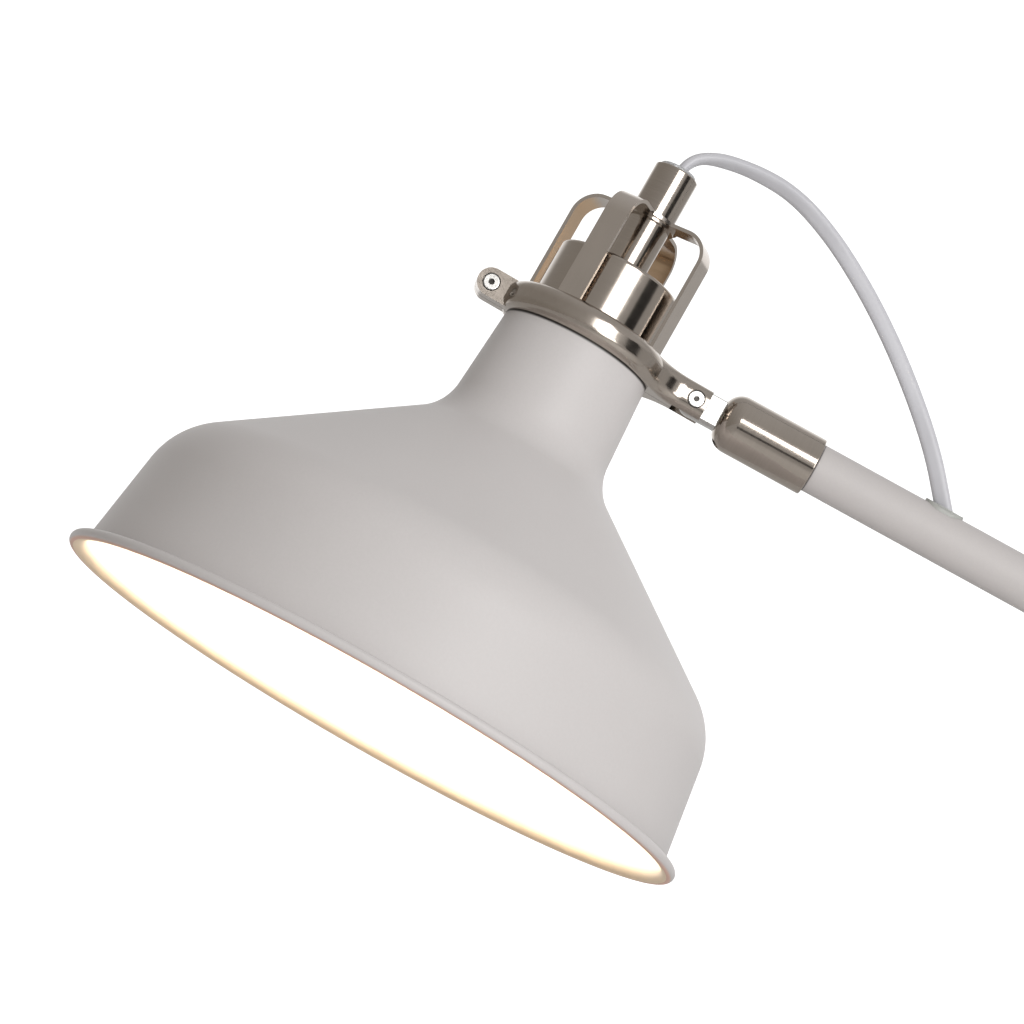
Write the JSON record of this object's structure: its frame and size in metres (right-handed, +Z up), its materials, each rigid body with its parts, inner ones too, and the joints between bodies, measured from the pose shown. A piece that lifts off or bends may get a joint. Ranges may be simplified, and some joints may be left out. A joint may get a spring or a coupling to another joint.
{
  "type": "adjustable arm floor lamp",
  "caption": "Floor lamp with a weighted round base, pole, friction elbow and long arm carrying a tilting bell-shaped metal shade in a clamp ring under a strap cage.",
  "frame": {"origin": "centre of the base on the floor", "axes": "+Z up along the pole, the arm leans towards -X, the hinges turn about Y"},
  "size_m": [0.8993, 0.28, 1.4945],
  "materials": {
    "shade_paint": "matte",
    "tube_paint": "matte",
    "nickel": "satin",
    "bright_steel": "satin",
    "plain_steel": "satin",
    "cast_iron": "matte",
    "pad": "matte",
    "cord": "satin",
    "clear_plastic": "gloss",
    "grommet": "satin",
    "holder_plastic": "matte",
    "nylon": "matte",
    "brass": "satin",
    "bulb_metal": "satin",
    "bulb_glass": "satin"
  },
  "bodies": {
    "stand": {"base_pad": "pad", "base_weight": "cast_iron", "base_cover": "tube_paint", "base_nipple": "plain_steel", "base_washer": "plain_steel", "base_nut": "plain_steel", "cable_gland": "holder_plastic", "pole_socket": "nickel", "pole_lower_tube": "tube_paint", "pole_coupling": "nickel", "pole_upper_tube": "tube_paint", "pole_ferrule": "nickel", "pole_grub_screw": "plain_steel"},
    "swivel": {"elbow_fork": "nickel", "elbow_bolt": "bright_steel", "elbow_washers": "nylon", "knob_washer": "nylon"},
    "knob": {"elbow_knob": "nickel"},
    "elbow": {"elbow_link": "bright_steel"},
    "arm": {"arm_lower_ferrule": "nickel", "arm_tube": "tube_paint", "arm_upper_ferrule": "nickel", "arm_grub_screws": "plain_steel", "head_link": "bright_steel", "arm_grommet": "grommet"},
    "head": {"shade": "shade_paint", "clamp_front": "nickel", "clamp_back": "nickel", "clamp_screw": "bright_steel", "clamp_nut": "bright_steel", "hinge_screw": "bright_steel", "hinge_nut": "bright_steel", "hinge_washers": "nylon", "cage": "nickel", "cage_rings": "bright_steel", "lampholder_cup": "nickel", "spindle_tube": "nickel", "spindle_nipple": "plain_steel", "nipple_nut": "plain_steel", "cord_bush": "clear_plastic", "lampholder_body": "holder_plastic", "holder_ring": "holder_plastic", "screw_shell": "brass", "centre_contact": "brass", "bulb_cap": "bulb_metal", "bulb_globe": "bulb_glass", "head_cord": "cord"}
  },
  "joints": [
    {"name": "pole_swivel", "type": "hinge", "parent": "stand", "child": "swivel", "pos_m": [0, 0, 1.115], "axis": [0, 0, 1], "range_deg": [-170, 170]},
    {"name": "knob_turn", "type": "hinge", "parent": "swivel", "child": "knob", "pos_m": [0, 0, 1.115], "axis": [0, 1, 0], "continuous": true},
    {"name": "elbow_tilt", "type": "hinge", "parent": "swivel", "child": "elbow", "pos_m": [0, 0, 1.115], "axis": [0, 1, 0], "range_deg": [-38, 45]},
    {"name": "arm_roll", "type": "hinge", "parent": "elbow", "child": "arm", "pos_m": [0, 0, 1.115], "axis": [0.8813, 0, -0.4726], "range_deg": [-90, 90]},
    {"name": "head_tilt", "type": "hinge", "parent": "arm", "child": "head", "pos_m": [-0.52878, 0, 1.39853], "axis": [0, 1, 0], "range_deg": [-25, 45], "deforming": ["head_cord"]}
  ]
}
